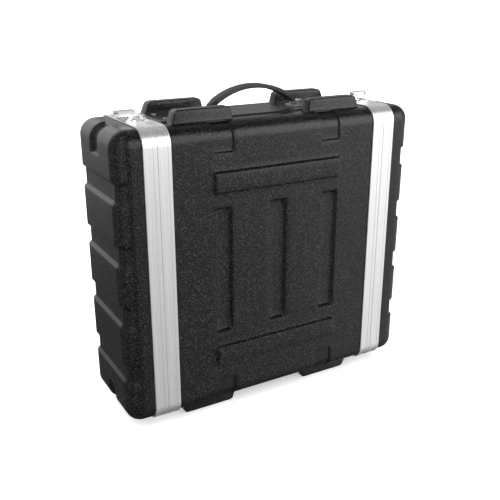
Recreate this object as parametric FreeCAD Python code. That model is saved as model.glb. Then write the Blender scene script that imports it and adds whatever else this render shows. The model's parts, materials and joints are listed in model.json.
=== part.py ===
import FreeCAD, Part
import math
import os

# Shock-resistant case for 19 inch rack equipment, four rack units high.
# It stands on its side: X runs through the rack from the front cover (-X) to the rear cover (+X),
# Y is the direction of the rack units, and Z is the 19 inch width, with the handle on top.
# The origin is on the floor, below the middle of the case. Millimetres.

# ---- driving dimensions -------------------------------------------------------------------
HALF_Y = 101.0            # metal bands, half of the height in rack units
HALF_Z = 271.1            # metal bands, half of the 19 inch width
FOOT_HEIGHT = 20.0        # stacking blocks stand this far beyond the bands
CENTRE_Z = HALF_Z + FOOT_HEIGHT
BAND_RADIUS = 32.0        # corner radius of the bands
PARTING_X = 235.0         # where a cover meets the body
BAND_INNER_X = 210.4      # body side edge of a band
BAND_OUTER_X = 260.0      # cover side edge of a band
COVER_END_X = 308.0       # outer face of a cover

RACK_UNIT = 44.45
RACK_UNITS = 4
RACK_HOLE_SPACING = 465.1     # between the two columns of holes
RACK_OPENING = 450.0          # clear width between the rails
RACK_HOLE_RADIUS = 3.0        # M6 tapped holes
RACK_HOLE_OFFSETS = (6.35, 22.225, 38.1)   # holes within one rack unit

WALL = 3.0                # moulded shells
BODY_INSET = 2.5          # body shell below the band surface
COVER_INSET = 3.0         # cover shell below the band surface
JOINT_GAP = 0.2           # shell wall to extrusion groove

# ---- metal bands, depths below their surface ----------------------------------------------
LIP_WIDTH = 6.0           # raised strip along both edges of a band
CENTRE_STRIP = 7.5        # half of the raised strip over the parting line
CHANNEL_DEPTH = 0.35
CHANNEL_STEP = 0.35       # slope between a strip and a channel
EDGE_CHAMFER = 0.5
PARTING_GAP = 0.2
BAND_INNER_LEG = 2.0
INNER_LEG_SETBACK = 2.0
BODY_SHELL_END_X = 227.0
COVER_SHELL_START_X = 242.0
SHELL_END_ROOM = 1.0      # beyond a shell's edge in its extrusion
TONGUE_X = 230.6
GROOVE_X = 229.4
GROOVE_DEPTH_RANGE = (3.6, 6.6)
TONGUE_DEPTH_RANGE = (4.1, 6.1)
SEAL_SIDE_GAP = 0.3

# ---- body relief --------------------------------------------------------------------------
LEAN = math.tan(math.radians(35))   # sideways run of its side walls for each millimetre of depth
BAR_HALF_LENGTH = 134.0
BAR_HEIGHT = 40.5
BAR_RAISE = 5.5
BAR_CENTRE_DZ = 166.3     # raised bars above and below the middle
SLOT_WIDTH = 36.4
SLOT_HEIGHT = 241.5
SLOT_DEPTH = 6.8
SLOT_WALL = 2.4           # behind the slots, clear of the equipment
SLOT_PITCH = 114.4
POCKET_WIDTH = 40.6
POCKET_CENTRE_X = 112.3
POCKET_DEPTH = 3.5
POCKET_EDGE_DZ = 217.0    # inner edge of a pocket from the middle
BLOCK_FRONT_Y = 71.0
BLOCK_BACK_Y = 45.0
BLOCK_BASE_X = (79.0, 195.0)
BLOCK_TIP_X = (83.7, 187.0)
BLOCK_FRONT_DRAFT = 2.6
BLOCK_BACK_DRAFT = 1.0
BLOCK_TIP_RADIUS = 6.0
BLOCK_EDGE_RADIUS = 1.8
PLATEAU_HALF_Y = 49.0
PLATEAU_HALF_X = 204.0
PLATEAU_RAISE = 2.4

# ---- cover relief -------------------------------------------------------------------------
COVER_BAND_DZ = (-166.1, -55.4, 55.4, 166.1)
COVER_BAND_HALF_HEIGHT = 20.0
COVER_BAND_DEPTH = 6.0
COVER_BAND_SIDE_DEPTH = 3.0
COVER_BAND_START_X = 285.5
COVER_SLOT_HALF_WIDTH = 19.5
COVER_SLOT_DEPTH = 6.0
COVER_SLOT_REACH = 50.0
COVER_SLOT_START_X = 278.0
COVER_BAND_FLOOR_RADIUS = 25.0
COVER_CUT_START_X = 262.0     # the recesses' cutters start here, before both recesses

# ---- rails --------------------------------------------------------------------------------
RAIL_FACE_X = 200.0
RAIL_LEG = 30.0
RAIL_THICKNESS = 2.5
RAIL_HALF_LENGTH = 0.5 * RACK_UNITS * RACK_UNIT
RAIL_LEG_HALF_LENGTH = 66.0   # stays on the flat of the wall
RAIL_SCREW_X = 187.0
RAIL_SCREW_Y = 26.0
SCREW_RADIUS = 2.5
SCREW_HOLE_RADIUS = 2.7
SCREW_HEAD_RADIUS = 4.6
SCREW_HEAD_HEIGHT = 2.2
NUT_ACROSS_FLATS = 8.0
NUT_HEIGHT = 4.0
SCREW_HEAD_ROUND = 1.4
CROSS_SLOT_HALF = 0.55        # half width of the head's cross slot
CROSS_SLOT_REACH = 2.6
CROSS_SLOT_DEPTH = 1.1
SCREW_TIP_LENGTH = 1.5        # beyond the nut
THREAD_GAP = 0.05

# ---- handle -------------------------------------------------------------------------------
HANDLE_PIVOT_LIFT = 6.0       # pivot above the deck between the blocks
HANDLE_PIVOT_X = 94.5
HANDLE_RISE = 36.6            # middle line of the arch above the pivot
HANDLE_GRIP_HALF_X = 92.0
HANDLE_GRIP_OUTLINE = ((92.0, 6.5), (84.0, 8.0), (78.0, 11.3))   # x and half width
HANDLE_NOSE_LIFT = 1.6        # underside of the grip's ends above the pivot
HANDLE_MID_THICKNESS = 8.0
HANDLE_END_THICKNESS = 9.5
HANDLE_EDGE_RADIUS = 2.4
HANDLE_CORE_HALF_WIDTH = 5.0
HANDLE_CORE_THICKNESS = 1.6
HANDLE_CORE_SETBACK = 3.5     # end of the strip before the pivot
HANDLE_BOSS_RADIUS = 4.0
HANDLE_BOSS_LENGTH = 9.0
HANDLE_PIN_RADIUS = 2.0
HANDLE_PIN_HEAD = 1.2
HANDLE_PIN_HEAD_GAP = 0.4     # between the bridge and the head
HANDLE_PIN_HEAD_LENGTH = 1.5
BRACKET_SHEET = 1.5
BRACKET_X = (84.0, 115.0)
BRACKET_HALF_WIDTH = 19.0
BRACKET_CORNER_RADIUS = 4.0
BRIDGE_X = (95.1, 110.1)
BRIDGE_HALF_WIDTH = 8.5
BRIDGE_TOP = 10.5
BRIDGE_RADIUS = 2.5
BRACKET_SCREW_X = 102.6
BRACKET_SCREW_Y = 13.6
BRACKET_SCREW_LENGTH = 12.0
RUNNING_GAP = 0.05            # radial clearance of a turning pin

# ---- latches, in their own axes: u outwards from the parting line, w up from the band -----
LEVER_PIVOT = (3.0, 10.0)
CLAW_PIVOT = (27.5, 10.5)
LATCH_PIN_RADIUS = 1.4
LEVER_TOP_W = 16.0
LEVER_SHEET = 1.4
LEVER_HALF_WIDTH = 7.2
LEVER_U = (-3.0, 36.0)
EAR_HALF_WIDTH = 5.7
EAR_SHEET = 1.3
CLAW_ARM_Y = (8.0, 9.4)
CLAW_EYE_RADIUS = 3.9
CLAW_TIP_U = -17.6
CLAW_PLATE_W = (6.3, 7.7)
CATCH_LIP_U = (-15.6, -14.2)
CATCH_PLATE_U = (-23.0, -8.0)
LATCH_PLATE_HALF_WIDTH = 22.0
LATCH_PLATE_SHEET = 1.2
RIVET_Y = 17.0
RIVET_RADIUS = 1.6
RIVET_HEAD_RADIUS = 3.2
RIVET_HEAD_HEIGHT = 1.2
LATCH_CORNER_RADIUS = 4.0     # of the two plates
LATCH_BASE_U = (1.5, 24.5)
BASE_RIVETS_U = (8.5, 19.0)
CATCH_RIVETS_U = (-15.5,)
EAR_FOOT_U = (5.0, 14.0)
LEVER_CURL_DROP = 3.2         # finger curl at the lever's end
LEVER_CURL_REACH = 3.6
CHEEK_BELOW_PIN = 3.0
PIN_HEAD_STEP = 0.5           # radius of a lever pin's head beyond the pin
PIN_HEAD_LENGTH = 0.4
CLAW_HEAD_STEP = 1.0
CLAW_HEAD_LENGTH = 0.8
CLAW_BEND_U = (-6.0, 10.0)    # where the arms run over into the tip plate
CLAW_PLATE_START_U = -9.0
CLAW_HOOK_W = 2.0             # lower edge of the hook above the band
CLAW_HOOK_SHEET = 1.4
CATCH_LIP_TOP_W = 4.9
CATCH_LIP_SIDE_GAP = 1.0
PLAY = 0.1                    # sideways, between a pin's head and its sheet
BURIED = 0.2                  # overlap that joins two shapes of one piece

FAR = 400.0               # beyond every surface
EPS = 0.5                 # cutters start this far outside the surface that they cut
CLEAR = 20.0              # cutters run on past the surface by this much
NEAR = 0.01               # two heights closer than this are the same
OVERLAP = 0.001           # joins two shapes that only touch

V = FreeCAD.Vector
TOP_Z = CENTRE_Z + HALF_Z
DECK_Z = TOP_Z - BODY_INSET + PLATEAU_RAISE
HANDLE_PIVOT_Z = DECK_Z + HANDLE_PIVOT_LIFT
ARCH_RADIUS = (HANDLE_PIVOT_X ** 2 + HANDLE_RISE ** 2) / (2 * HANDLE_RISE)
ARCH_CENTRE_Z = HANDLE_PIVOT_Z + HANDLE_RISE - ARCH_RADIUS


# ---- general shapes -----------------------------------------------------------------------
def box(x0, x1, y0, y1, z0, z1):
    """Box between two corners."""
    return Part.makeBox(x1 - x0, y1 - y0, z1 - z0, V(x0, y0, z0))


def upright_edges(shape):
    return [edge for edge in shape.Edges if abs(edge.Vertexes[0].Z - edge.Vertexes[-1].Z) > EPS]


def edges_at_height(shape, height):
    return [edge for edge in shape.Edges if abs(edge.CenterOfMass.z - height) < NEAR]


def cylinder(radius, start, end):
    """Cylinder between two points."""
    axis = end - start
    return Part.makeCylinder(radius, axis.Length, start, axis)


def prism(points, vector):
    """Closed polygon pulled along a vector."""
    wire = Part.makePolygon(points + [points[0]])
    return Part.Face(wire).extrude(vector)


def fuse_all(shapes):
    """One solid from several overlapping ones."""
    first, rest = shapes[0], list(shapes[1:])
    return first.multiFuse(rest).removeSplitter() if rest else first


def arc_edge(centre, radius, start_deg, end_deg, place):
    """Arc in a plane; place(a, b) turns plane coordinates into a point."""
    def at(angle_deg):
        angle = math.radians(angle_deg)
        return place(centre[0] + radius * math.cos(angle), centre[1] + radius * math.sin(angle))
    return Part.Arc(at(start_deg), at(0.5 * (start_deg + end_deg)), at(end_deg)).toShape()


def rounded_rectangle(half_a, half_b, radius, place):
    """Rounded rectangle round the plane's origin."""
    a, b = half_a - radius, half_b - radius
    corners = [(a, b, 0), (-a, b, 90), (-a, -b, 180), (a, -b, 270)]
    edges = []
    for number, (ca, cb, start) in enumerate(corners):
        arc = arc_edge((ca, cb), radius, start, start + 90, place)
        edges.append(arc)
        na, nb, nstart = corners[(number + 1) % 4]
        turn = math.radians(nstart)
        next_start = place(na + radius * math.cos(turn), nb + radius * math.sin(turn))
        edges.append(Part.LineSegment(arc.valueAt(arc.LastParameter), next_start).toShape())
    return Part.Wire(edges)


def case_prism(inset, x0, x1):
    """The case's outline, moved inwards by inset, between two stations along X."""
    def place(y, z):
        return V(x0, y, CENTRE_Z + z)
    radius = BAND_RADIUS - inset
    wire = rounded_rectangle(HALF_Y - inset, HALF_Z - inset, radius, place)
    return Part.Face(wire).extrude(V(x1 - x0, 0, 0))


def ring(profile, side):
    """A section of (x, depth below the band surface) points carried round the outline."""
    a, b = HALF_Y - BAND_RADIUS, HALF_Z - BAND_RADIUS

    def flat(points_from_depth, vector):
        return prism([points_from_depth(x, depth) for x, depth in profile], vector)
    parts = [
        flat(lambda x, n: V(side * x, HALF_Y - n, CENTRE_Z - b), V(0, 0, 2 * b)),
        flat(lambda x, n: V(side * x, n - HALF_Y, CENTRE_Z - b), V(0, 0, 2 * b)),
        flat(lambda x, n: V(side * x, -a, TOP_Z - n), V(0, 2 * a, 0)),
        flat(lambda x, n: V(side * x, -a, CENTRE_Z - HALF_Z + n), V(0, 2 * a, 0)),
    ]
    for sign_y, sign_z in ((1, 1), (-1, 1), (-1, -1), (1, -1)):
        pivot = V(0, sign_y * a, CENTRE_Z + sign_z * b)
        points = [V(side * x, sign_y * (HALF_Y - n), pivot.z) for x, n in profile]
        face = Part.Face(Part.makePolygon(points + [points[0]]))
        parts.append(face.revolve(pivot, V(1, 0, 0), 90 * sign_y * sign_z))
    return fuse_all(parts)


def frustum(x0, x1, z0, z1, y_base, y_tip, slope):
    """Bevelled slab on a big face: a rectangle at y_base that shrinks by slope at y_tip."""
    def rectangle(y, shrink):
        corners = [(x0 + shrink, z0 + shrink), (x1 - shrink, z0 + shrink),
                   (x1 - shrink, z1 - shrink), (x0 + shrink, z1 - shrink)]
        points = [V(x, y, z) for x, z in corners]
        return Part.makePolygon(points + [points[0]])
    return Part.makeLoft([rectangle(y_base, 0), rectangle(y_tip, slope)], True, True)


def mirrored_y(shape):
    return shape.mirror(V(0, 0, 0), V(0, 1, 0))


def mirrored_z(shape):
    return shape.mirror(V(0, 0, CENTRE_Z), V(0, 0, 1))


def four_ways(shape):
    """The shape and its mirror images above and below, near and far."""
    pair = [shape, mirrored_y(shape)]
    return pair + [mirrored_z(each) for each in pair]


# ---- body shell ---------------------------------------------------------------------------
def raised_bars(shrink):
    """Long raised bars on both big faces, shrunk by the wall for their hollow backs."""
    face = HALF_Y - BODY_INSET
    base = face - (EPS if shrink == 0 else WALL + EPS)
    bars = []
    for sign in (1, -1):
        middle = CENTRE_Z + sign * BAR_CENTRE_DZ
        bar = frustum(-BAR_HALF_LENGTH + shrink, BAR_HALF_LENGTH - shrink,
                      middle - BAR_HEIGHT / 2 + shrink, middle + BAR_HEIGHT / 2 - shrink,
                      face - shrink, face + BAR_RAISE - shrink, BAR_RAISE * LEAN)
        root = box(-BAR_HALF_LENGTH + shrink, BAR_HALF_LENGTH - shrink, base, face - shrink + OVERLAP,
                   middle - BAR_HEIGHT / 2 + shrink, middle + BAR_HEIGHT / 2 - shrink)
        solid = fuse_all([bar, root])
        bars += [solid, mirrored_y(solid)]
    return bars


def face_slots(grow):
    """Recessed slots in both big faces; grow makes the wall behind them."""
    face = HALF_Y - BODY_INSET
    slots = []
    for number in (-1, 0, 1):
        centre = number * SLOT_PITCH
        half_w = SLOT_WIDTH / 2 + grow + EPS * LEAN
        half_h = SLOT_HEIGHT / 2 + grow + EPS * LEAN
        slot = frustum(centre - half_w, centre + half_w, CENTRE_Z - half_h, CENTRE_Z + half_h,
                       face + EPS, face - SLOT_DEPTH - grow, (SLOT_DEPTH + grow + EPS) * LEAN)
        slots += [slot, mirrored_y(slot)]
    return slots


def outline_section(x, depth, low_z, back_y):
    """Space outside the body's outline round its near top edge, at one station along X."""
    half_y, half_z = HALF_Y - BODY_INSET - depth, HALF_Z - BODY_INSET - depth
    radius = BAND_RADIUS - BODY_INSET - depth
    a, b = half_y - radius, half_z - radius

    def place(y, z):
        return V(x, -y, CENTRE_Z + z)
    arc = arc_edge((a, b), radius, 0, 90, place)
    corners = [place(half_y, low_z), arc.valueAt(arc.FirstParameter), arc.valueAt(arc.LastParameter),
               place(back_y, half_z), place(back_y, HALF_Z + WALL), place(HALF_Y + WALL, HALF_Z + WALL),
               place(HALF_Y + WALL, low_z)]
    edges = [Part.makeLine(corners[0], corners[1]), arc]
    for start, end in zip(corners[2:], corners[3:] + corners[:1]):
        edges.append(Part.makeLine(start, end))
    return Part.Wire(edges)


def corner_pockets(grow):
    """Shallow channels that run from the big faces over the edges to the stacking blocks."""
    low_z = POCKET_EDGE_DZ - grow
    back_y = BLOCK_FRONT_Y - EPS - grow
    depth = POCKET_DEPTH + grow
    edge_z = CENTRE_Z + low_z
    foot_z = edge_z + depth * LEAN
    face_y = -HALF_Y + BODY_INSET
    out_y, in_y = face_y - CLEAR, face_y + depth + CLEAR
    pockets = []
    for sign in (1, -1):
        rim = POCKET_WIDTH / 2 + grow + EPS * LEAN
        floor = POCKET_WIDTH / 2 + grow - depth * LEAN
        centre = sign * POCKET_CENTRE_X
        stations = ((-rim, -EPS), (-floor, depth), (floor, depth), (rim, -EPS))
        wires = [outline_section(centre + x, d, low_z, back_y) for x, d in stations]
        tool = Part.makeLoft(wires, True, True)
        sill = prism([V(-FAR, out_y, edge_z), V(-FAR, face_y, edge_z),
                      V(-FAR, face_y + depth, foot_z), V(-FAR, in_y, foot_z),
                      V(-FAR, in_y, edge_z - CLEAR), V(-FAR, out_y, edge_z - CLEAR)], V(2 * FAR, 0, 0))
        pockets += four_ways(tool.cut(sill))
    return pockets


def stacking_block(shrink):
    """One drafted block that stands on the top near edge; shrunk for its hollow inside."""
    base_z = TOP_Z - BODY_INSET - (EPS if shrink == 0 else WALL + EPS)
    tip_z = TOP_Z + FOOT_HEIGHT - shrink
    front, back = -BLOCK_FRONT_Y + shrink, -BLOCK_BACK_Y - shrink

    def rectangle(x_range, y0, y1, z):
        x0, x1 = x_range[0] + shrink, x_range[1] - shrink
        points = [V(x0, y0, z), V(x1, y0, z), V(x1, y1, z), V(x0, y1, z)]
        return Part.makePolygon(points + [points[0]])
    base = rectangle(BLOCK_BASE_X, front, back, base_z)
    tip = rectangle(BLOCK_TIP_X, front + BLOCK_FRONT_DRAFT, back - BLOCK_BACK_DRAFT, tip_z)
    block = Part.makeLoft([base, tip], True, True)

    def tip_edges(solid, along_y):
        """Edges round the tip face that run along Y, or along X."""
        chosen = []
        for edge in solid.Edges:
            ends = edge.Vertexes
            level = abs(edge.CenterOfMass.z - tip_z) < NEAR
            if level and (abs(ends[0].Y - ends[-1].Y) > 1) == along_y:
                chosen.append(edge)
        return chosen
    block = block.makeFillet(BLOCK_TIP_RADIUS - shrink, tip_edges(block, True))
    if shrink == 0:
        block = block.makeFillet(BLOCK_EDGE_RADIUS, tip_edges(block, False))
    return block


def all_blocks(shrink):
    block = stacking_block(shrink)
    other = block.mirror(V(0, 0, 0), V(1, 0, 0))
    return four_ways(block) + four_ways(other)


def plateaus():
    """Low plateaus between the block rows on the top and the bottom."""
    top = TOP_Z - BODY_INSET
    slab = box(-PLATEAU_HALF_X, PLATEAU_HALF_X, -PLATEAU_HALF_Y, PLATEAU_HALF_Y,
               top - EPS, top + PLATEAU_RAISE)
    return [slab, mirrored_z(slab)]


def body_shell():
    """Moulded body: an open-ended tube with raised bars, slots, pockets and stacking blocks."""
    end_x = BODY_SHELL_END_X
    outside = fuse_all([case_prism(BODY_INSET, -end_x, end_x)] + raised_bars(0) + plateaus() + all_blocks(0))
    outside = outside.cut(face_slots(0)).cut(corner_pockets(0))
    hollow = case_prism(BODY_INSET + WALL, -end_x - 1, end_x + 1)
    hollow = hollow.cut(face_slots(SLOT_WALL)).cut(corner_pockets(WALL))
    hollow = fuse_all([hollow] + raised_bars(WALL) + all_blocks(WALL))
    shell = outside.cut(hollow)
    holes = [cylinder(SCREW_HOLE_RADIUS, V(x, y, -FAR), V(x, y, 2 * FAR))
             for x in (-RAIL_SCREW_X, RAIL_SCREW_X) for y in (-RAIL_SCREW_Y, RAIL_SCREW_Y)]
    holes += [cylinder(SCREW_HOLE_RADIUS, V(x, y, CENTRE_Z), V(x, y, 2 * FAR))
              for x, y in bracket_screw_places()]
    return shell.cut(holes)


# ---- metal bands --------------------------------------------------------------------------
def band_profile(edge_x, meeting_x, toward_edge, leg_depths, joint, shell_x):
    """Section of one extrusion as (x, depth) points, from its free edge to the parting line.

    toward_edge is -1 on the body, where the free edge has the smaller x, and +1 on a cover;
    leg_depths are the depths of the shell's slot; joint is the groove or the tongue."""
    outer_leg, inner_leg = leg_depths
    strip_x = PARTING_X + toward_edge * CENTRE_STRIP
    lip_x = edge_x - toward_edge * LIP_WIDTH
    inner_x = edge_x - toward_edge * INNER_LEG_SETBACK
    return [
        (edge_x, EDGE_CHAMFER), (edge_x - toward_edge * EDGE_CHAMFER, 0.0), (lip_x, 0.0),
        (lip_x - toward_edge * CHANNEL_STEP, CHANNEL_DEPTH),
        (strip_x + toward_edge * CHANNEL_STEP, CHANNEL_DEPTH), (strip_x, 0.0),
        (meeting_x + toward_edge * EDGE_CHAMFER, 0.0), (meeting_x, EDGE_CHAMFER)] + joint + [
        (meeting_x, inner_leg + BAND_INNER_LEG), (inner_x, inner_leg + BAND_INNER_LEG),
        (inner_x, inner_leg), (shell_x, inner_leg), (shell_x, outer_leg), (edge_x, outer_leg)]


def body_frame(side):
    """Extrusion that holds the body shell's edge, with the groove for the cover's tongue."""
    low, high = GROOVE_DEPTH_RANGE
    groove = [(PARTING_X, low), (GROOVE_X, low), (GROOVE_X, high), (PARTING_X, high)]
    legs = (BODY_INSET - JOINT_GAP, BODY_INSET + WALL + JOINT_GAP)
    return ring(band_profile(BAND_INNER_X, PARTING_X, -1, legs, groove, BODY_SHELL_END_X + SHELL_END_ROOM),
                side)


def cover_frame(side):
    """Extrusion that holds the cover shell's edge, with the tongue that enters the body."""
    low, high = TONGUE_DEPTH_RANGE
    meeting_x = PARTING_X + PARTING_GAP
    tongue = [(meeting_x, low), (TONGUE_X, low), (TONGUE_X, high), (meeting_x, high)]
    legs = (COVER_INSET - JOINT_GAP, COVER_INSET + WALL + JOINT_GAP)
    shell_x = COVER_SHELL_START_X - SHELL_END_ROOM
    return ring(band_profile(BAND_OUTER_X, meeting_x, 1, legs, tongue, shell_x), side)


def seal(side):
    """Flat rubber seal on the floor of the body's groove."""
    low, high = GROOVE_DEPTH_RANGE[0] + SEAL_SIDE_GAP, GROOVE_DEPTH_RANGE[1] - SEAL_SIDE_GAP
    face_x = TONGUE_X - JOINT_GAP
    return ring([(GROOVE_X, low), (GROOVE_X, high), (face_x, high), (face_x, low)], side)


# ---- covers -------------------------------------------------------------------------------
def cap(inset_sides, end_x, radius):
    """Closed block with ball corners at its outer end."""
    half_y, half_z = HALF_Y - inset_sides, HALF_Z - inset_sides
    block = box(PARTING_X / 2, end_x, -half_y, half_y, CENTRE_Z - half_z, CENTRE_Z + half_z)
    chosen = []
    for edge in block.Edges:
        along_x = abs(edge.Vertexes[0].X - edge.Vertexes[1].X) > 1
        at_end = abs(edge.CenterOfMass.x - end_x) < NEAR
        if along_x or at_end:
            chosen.append(edge)
    return block.makeFillet(radius, chosen)


def end_outline(z, half_y, end_x, radius):
    """Space outside a cover's plan outline, at one height."""
    def place(x, y):
        return V(x, y, z)
    near = arc_edge((end_x - radius, -half_y + radius), radius, -90, 0, place)
    far = arc_edge((end_x - radius, half_y - radius), radius, 0, 90, place)
    start, far_x, wide = COVER_CUT_START_X, end_x + 2 * CLEAR, HALF_Y + CLEAR
    points = [V(start, half_y, z), V(start, wide, z), V(far_x, wide, z), V(far_x, -wide, z),
              V(start, -wide, z), V(start, -half_y, z)]
    edges = [near, Part.makeLine(near.valueAt(near.LastParameter), far.valueAt(far.FirstParameter)), far]
    for first, second in zip([far.valueAt(far.LastParameter)] + points,
                             points + [near.valueAt(near.FirstParameter)]):
        edges.append(Part.makeLine(first, second))
    return Part.Wire(edges)


def cover_bands(grow):
    """Recess bands across the end face that wrap round both upright edges."""
    outer_radius = BAND_RADIUS - COVER_INSET
    half_y = HALF_Y - COVER_INSET
    depth, side_depth = COVER_BAND_DEPTH + grow, COVER_BAND_SIDE_DEPTH + grow
    half = COVER_BAND_HALF_HEIGHT + grow
    start = COVER_BAND_START_X - grow
    floor_radius = COVER_BAND_FLOOR_RADIUS - grow
    tools = []
    for dz in COVER_BAND_DZ:
        middle = CENTRE_Z + dz
        wires = [
            end_outline(middle - half - EPS, half_y + EPS, COVER_END_X + EPS, outer_radius + EPS),
            end_outline(middle - half + depth, half_y - side_depth, COVER_END_X - depth, floor_radius),
            end_outline(middle + half - depth, half_y - side_depth, COVER_END_X - depth, floor_radius),
            end_outline(middle + half + EPS, half_y + EPS, COVER_END_X + EPS, outer_radius + EPS)]
        slab = Part.makeLoft(wires, True, True)
        edge_y = half_y + 2 * EPS
        inner_y = half_y - side_depth
        inner_x = start + side_depth + 2 * EPS
        far_x, far_y = COVER_END_X + CLEAR, edge_y + CLEAR
        zone = prism([V(start, edge_y, 0), V(inner_x, inner_y, 0), V(inner_x, -inner_y, 0),
                      V(start, -edge_y, 0), V(start, -far_y, 0), V(far_x, -far_y, 0),
                      V(far_x, far_y, 0), V(start, far_y, 0)], V(0, 0, 2 * FAR))
        tools.append(slab.common(zone))
    return tools


def top_outline(y, top, end_x, radius):
    """Space outside a cover's side outline at its top edge, at one station along Y."""
    def place(x, z):
        return V(x, y, z)
    arc = arc_edge((end_x - radius, top - radius), radius, 0, 90, place)
    low, high = top - 2 * COVER_SLOT_REACH, TOP_Z + CLEAR
    start, far_x = COVER_CUT_START_X, end_x + 2 * CLEAR
    points = [V(start, y, top), V(start, y, high), V(far_x, y, high), V(far_x, y, low), V(end_x, y, low)]
    edges = [arc]
    for first, second in zip([arc.valueAt(arc.LastParameter)] + points,
                             points + [arc.valueAt(arc.FirstParameter)]):
        edges.append(Part.makeLine(first, second))
    return Part.Wire(edges)


def cover_slots(grow):
    """Finger slots over the middle of the top and bottom edges."""
    radius = BAND_RADIUS - COVER_INSET
    top = TOP_Z - COVER_INSET
    depth = COVER_SLOT_DEPTH + grow
    half = COVER_SLOT_HALF_WIDTH + grow
    start = COVER_SLOT_START_X - grow
    low = top - COVER_SLOT_REACH - grow
    wires = [top_outline(-half - EPS, top + EPS, COVER_END_X + EPS, radius + EPS),
             top_outline(-half + depth, top - depth, COVER_END_X - depth, radius - depth),
             top_outline(half - depth, top - depth, COVER_END_X - depth, radius - depth),
             top_outline(half + EPS, top + EPS, COVER_END_X + EPS, radius + EPS)]
    slab = Part.makeLoft(wires, True, True)
    far_x, far_z = COVER_END_X + CLEAR, top + CLEAR
    zone = prism([V(start - 2 * EPS, -FAR, top + 2 * EPS), V(start + depth, -FAR, top - depth),
                  V(start + depth, -FAR, low + depth), V(COVER_END_X - depth, -FAR, low + depth),
                  V(COVER_END_X + 2 * EPS, -FAR, low - 2 * EPS), V(far_x, -FAR, low - 2 * EPS),
                  V(far_x, -FAR, far_z), V(start - 2 * EPS, -FAR, far_z)], V(0, 2 * FAR, 0))
    tool = slab.common(zone)
    return [tool, mirrored_z(tool)]


def cover_shell():
    """Moulded cover on the +X side, open towards the body."""
    radius = BAND_RADIUS - COVER_INSET
    outside = cap(COVER_INSET, COVER_END_X, radius)
    outside = outside.cut(cover_bands(0)).cut(cover_slots(0))
    hollow = cap(COVER_INSET + WALL, COVER_END_X - WALL, radius - WALL)
    hollow = hollow.cut(cover_bands(WALL)).cut(cover_slots(WALL))
    shell = outside.cut(hollow)
    return shell.common(box(COVER_SHELL_START_X, FAR, -FAR, FAR, -FAR, 2 * FAR))


# ---- rack rails ---------------------------------------------------------------------------
def rack_rail(side):
    """Steel angle under the top wall; its flange carries the rack holes."""
    wall_z = TOP_Z - BODY_INSET - WALL
    flange_z = CENTRE_Z + RACK_OPENING / 2
    flange = box(RAIL_FACE_X - RAIL_THICKNESS, RAIL_FACE_X, -RAIL_HALF_LENGTH, RAIL_HALF_LENGTH,
                 flange_z, wall_z)
    leg = box(RAIL_FACE_X - RAIL_LEG, RAIL_FACE_X, -RAIL_LEG_HALF_LENGTH, RAIL_LEG_HALF_LENGTH,
              wall_z - RAIL_THICKNESS, wall_z)
    inside = case_prism(BODY_INSET + WALL, 0, FAR)
    rail = fuse_all([flange, leg]).common(inside)
    hole_z = CENTRE_Z + RACK_HOLE_SPACING / 2
    holes = []
    for unit in range(RACK_UNITS):
        for offset in RACK_HOLE_OFFSETS:
            y = -RAIL_HALF_LENGTH + unit * RACK_UNIT + offset
            holes.append(cylinder(RACK_HOLE_RADIUS, V(0, y, hole_z), V(FAR, y, hole_z)))
    for y in (-RAIL_SCREW_Y, RAIL_SCREW_Y):
        holes.append(cylinder(SCREW_HOLE_RADIUS, V(RAIL_SCREW_X, y, 0), V(RAIL_SCREW_X, y, 2 * FAR)))
    rail = rail.cut(holes)
    return rail if side > 0 else rail.mirror(V(0, 0, 0), V(1, 0, 0))


def pan_screw(x, y, seat_z, length):
    """Screw that points down, with its head on seat_z."""
    head = cylinder(SCREW_HEAD_RADIUS, V(x, y, seat_z), V(x, y, seat_z + SCREW_HEAD_HEIGHT))
    top_z = seat_z + SCREW_HEAD_HEIGHT
    head = head.makeFillet(SCREW_HEAD_ROUND, edges_at_height(head, top_z))
    for dx, dy in ((CROSS_SLOT_REACH, CROSS_SLOT_HALF), (CROSS_SLOT_HALF, CROSS_SLOT_REACH)):
        head = head.cut(box(x - dx, x + dx, y - dy, y + dy, top_z - CROSS_SLOT_DEPTH, top_z + EPS))
    shank = cylinder(SCREW_RADIUS, V(x, y, seat_z - length), V(x, y, seat_z + BURIED))
    return fuse_all([head, shank])


def hex_nut(x, y, top_z):
    """Nut that hangs from top_z."""
    across = NUT_ACROSS_FLATS / math.sqrt(3)
    turns = [math.pi * k / 3 for k in range(6)]
    low_z = top_z - NUT_HEIGHT
    points = [V(x + across * math.cos(turn), y + across * math.sin(turn), low_z) for turn in turns]
    nut = prism(points, V(0, 0, NUT_HEIGHT))
    return nut.cut(cylinder(SCREW_RADIUS + THREAD_GAP, V(x, y, top_z - CLEAR), V(x, y, top_z + CLEAR)))


def rail_screw_places():
    return [(x, y) for x in (-RAIL_SCREW_X, RAIL_SCREW_X) for y in (-RAIL_SCREW_Y, RAIL_SCREW_Y)]


def rail_screws():
    length = PLATEAU_RAISE + WALL + RAIL_THICKNESS + NUT_HEIGHT + SCREW_TIP_LENGTH
    screws = [pan_screw(x, y, DECK_Z, length) for x, y in rail_screw_places()]
    return screws + [mirrored_z(screw) for screw in screws]


def rail_nuts():
    seat = TOP_Z - BODY_INSET - WALL - RAIL_THICKNESS
    nuts = [hex_nut(x, y, seat) for x, y in rail_screw_places()]
    return nuts + [mirrored_z(nut) for nut in nuts]


# ---- handle -------------------------------------------------------------------------------
def bracket_screw_places():
    return [(x, y) for x in (-BRACKET_SCREW_X, BRACKET_SCREW_X) for y in (-BRACKET_SCREW_Y, BRACKET_SCREW_Y)]


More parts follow.
